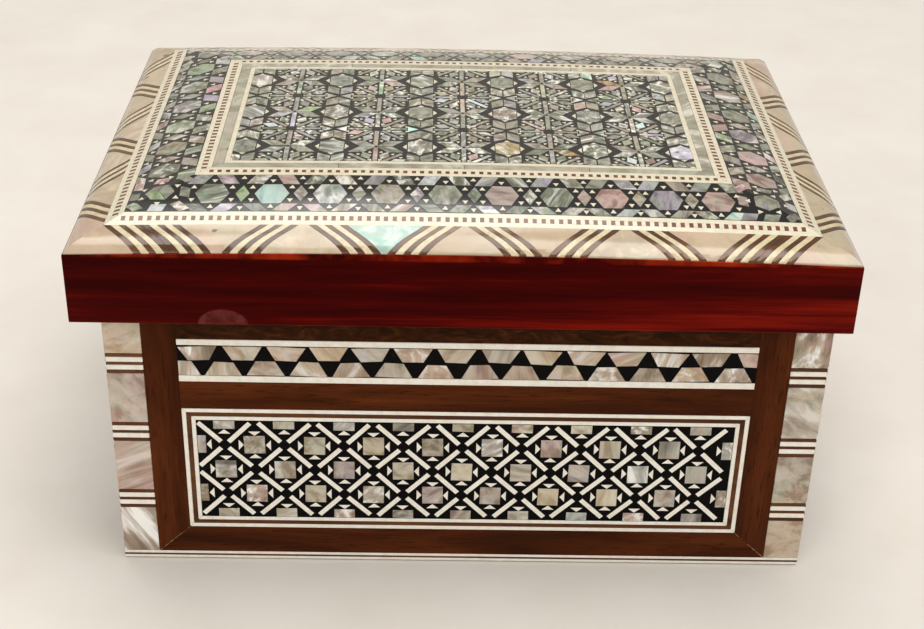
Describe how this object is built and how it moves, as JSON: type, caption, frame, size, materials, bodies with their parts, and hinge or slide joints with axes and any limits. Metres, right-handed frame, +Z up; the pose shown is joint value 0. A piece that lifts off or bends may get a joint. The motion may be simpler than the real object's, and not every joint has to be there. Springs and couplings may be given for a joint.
{
  "type": "keepsake box",
  "caption": "Rectangular inlaid wooden keepsake box with an overhanging pillow-shaped lid on butt hinges and a velvet-lined compartment.",
  "frame": {"origin": "on the surface that the box stands on, under the middle of the lid", "axes": "+X along the box, to the right as seen from the front; +Y towards the hinges at the back; +Z up"},
  "size_m": [0.1582, 0.1124, 0.0858],
  "materials": {
    "carcass_wood": "stained, satin",
    "frame_wood": "red-brown, varnished",
    "red_lacquer": "deep red gloss lacquer",
    "pearl": "polished mother-of-pearl",
    "pearl_mosaic": "mother-of-pearl and bone set in black mastic, polished",
    "abalone_mosaic": "abalone shell set in black mastic, polished",
    "bone_string": "cream and brown stringing, varnished",
    "red_velvet": "velvet",
    "base_felt": "felt",
    "brass": "satin"
  },
  "bodies": {
    "case": {"case_front_board": "carcass_wood", "front_wall_lining": "red_velvet", "front_corner_strips": "pearl", "front_stiles": "frame_wood", "front_rails": "frame_wood", "front_strings": "bone_string", "front_zigzag_band": "pearl_mosaic", "front_lattice_panel": "pearl_mosaic", "case_right_board": "carcass_wood", "right_wall_lining": "red_velvet", "right_corner_strips": "pearl", "right_stiles": "frame_wood", "right_rails": "frame_wood", "right_strings": "bone_string", "right_zigzag_band": "pearl_mosaic", "right_lattice_panel": "pearl_mosaic", "case_back_board": "carcass_wood", "back_wall_lining": "red_velvet", "back_corner_strips": "pearl", "back_stiles": "frame_wood", "back_rails": "frame_wood", "back_strings": "bone_string", "back_zigzag_band": "pearl_mosaic", "back_lattice_panel": "pearl_mosaic", "case_left_board": "carcass_wood", "left_wall_lining": "red_velvet", "left_corner_strips": "pearl", "left_stiles": "frame_wood", "left_rails": "frame_wood", "left_strings": "bone_string", "left_zigzag_band": "pearl_mosaic", "left_lattice_panel": "pearl_mosaic", "base_board": "carcass_wood", "floor_lining": "red_velvet", "base_felt": "base_felt", "base_string": "bone_string", "hinge_left_case_leaf": "brass", "hinge_right_case_leaf": "brass", "hinge_pins": "brass", "hinge_case_screws": "brass"},
    "lid": {"lid_front_rail": "red_lacquer", "lid_front_border": "pearl", "lid_right_rail": "red_lacquer", "lid_right_border": "pearl", "lid_back_rail": "red_lacquer", "lid_back_border": "pearl", "lid_left_rail": "red_lacquer", "lid_left_border": "pearl", "lid_outer_string": "bone_string", "lid_mosaic_band": "abalone_mosaic", "lid_inner_string": "bone_string", "lid_shell_strip": "abalone_mosaic", "lid_inner_line": "bone_string", "lid_centre_panel": "abalone_mosaic", "lid_board": "carcass_wood", "lid_lining": "red_velvet", "hinge_left_lid_leaf": "brass", "hinge_right_lid_leaf": "brass", "hinge_lid_screws": "brass"}
  },
  "joints": [
    {"name": "lid_hinge", "type": "hinge", "parent": "case", "child": "lid", "pos_m": [0.0014, 0.05375, 0.0628], "axis": [-1, 0, 0], "range_deg": [0, 120]}
  ]
}
